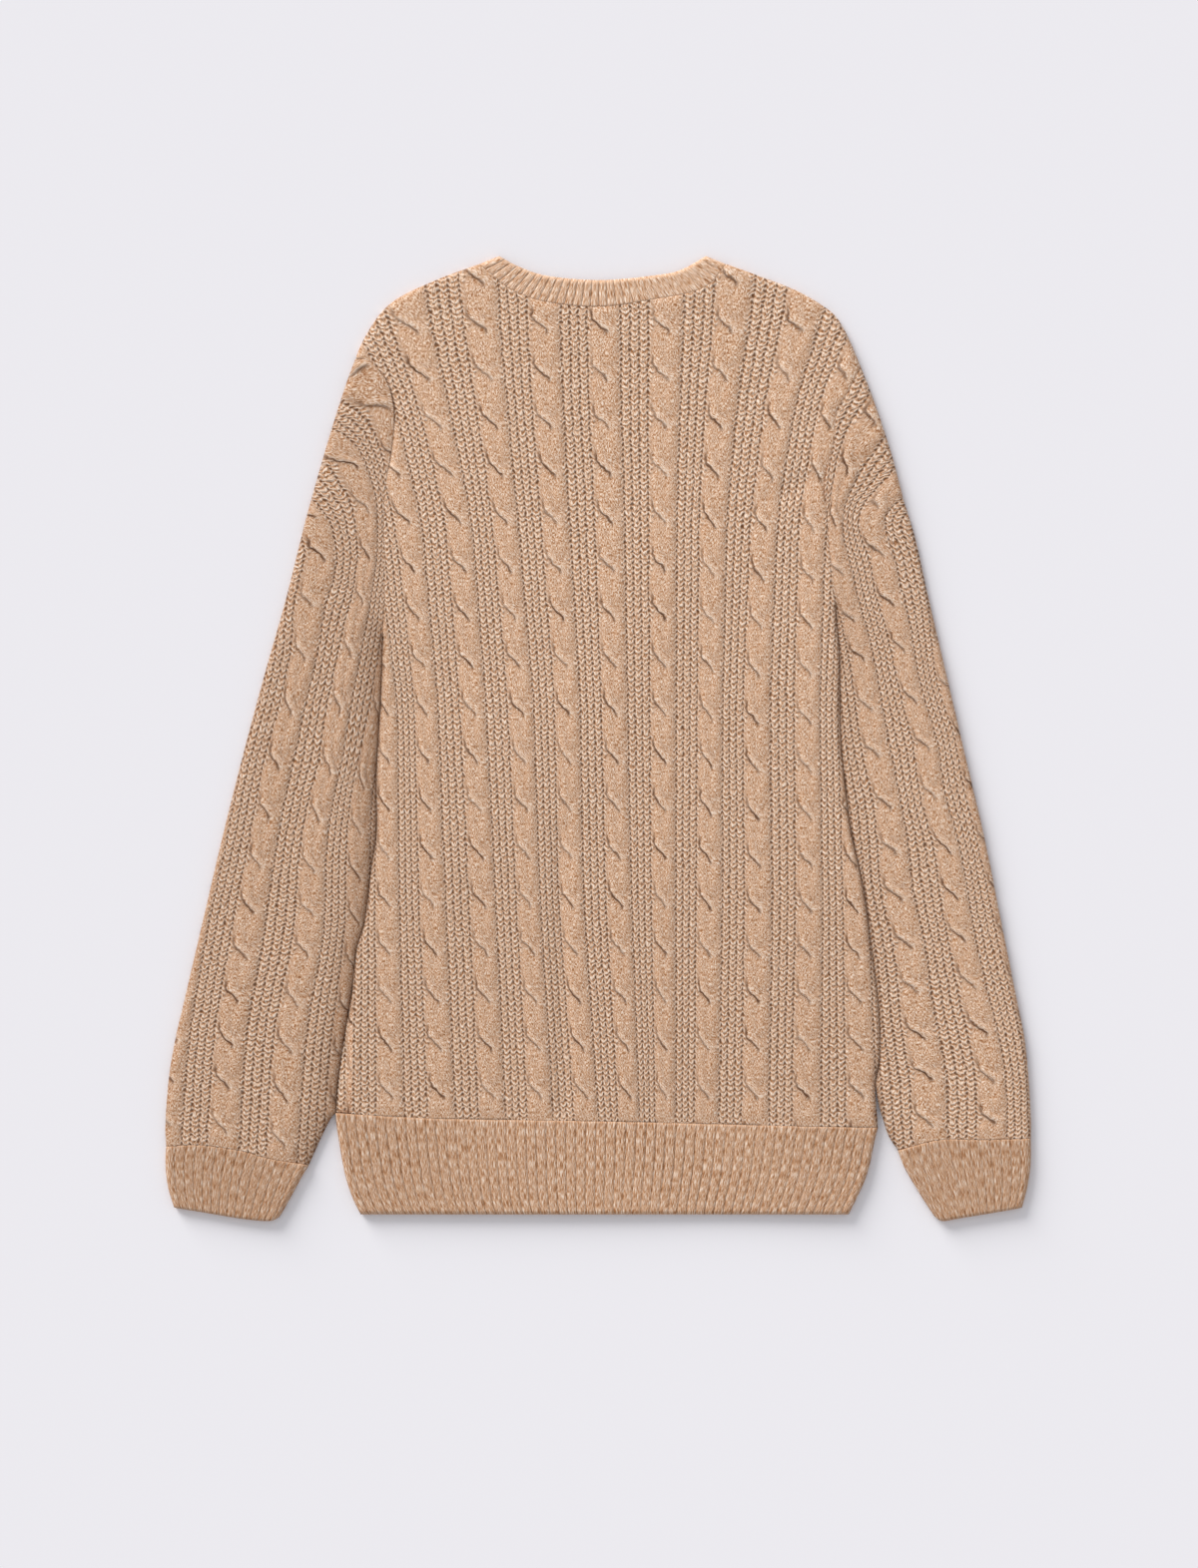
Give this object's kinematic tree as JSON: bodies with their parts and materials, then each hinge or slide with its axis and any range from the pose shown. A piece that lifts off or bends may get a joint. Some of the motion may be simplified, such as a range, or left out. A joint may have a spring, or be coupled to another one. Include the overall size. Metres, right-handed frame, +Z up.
{
  "type": "cable knit sweater",
  "caption": "Long-sleeved crew-neck sweater in cable knit with ribbed neckband, cuffs and hem, laid flat on its front with the back up.",
  "frame": {"origin": "centre of the laid-out garment's bounding box, on the surface that it lies on", "axes": "+X across the body to the right as seen from above, +Y from the hem to the neck, +Z up out of the back panel"},
  "size_m": [0.649, 0.7236, 0.0093],
  "materials": {
    "cable_knit": "soft marled wool in cable stitch",
    "rib_knit": "soft marled wool in rib stitch"
  },
  "bodies": {
    "root": {"front_panel": "cable_knit", "back_panel": "cable_knit", "sleeve_left": "cable_knit", "sleeve_right": "cable_knit", "hem_rib_front": "rib_knit", "hem_rib_back": "rib_knit", "neckband_front": "rib_knit", "neckband_back": "rib_knit", "cuff_left": "rib_knit", "cuff_right": "rib_knit"}
  },
  "joints": []
}
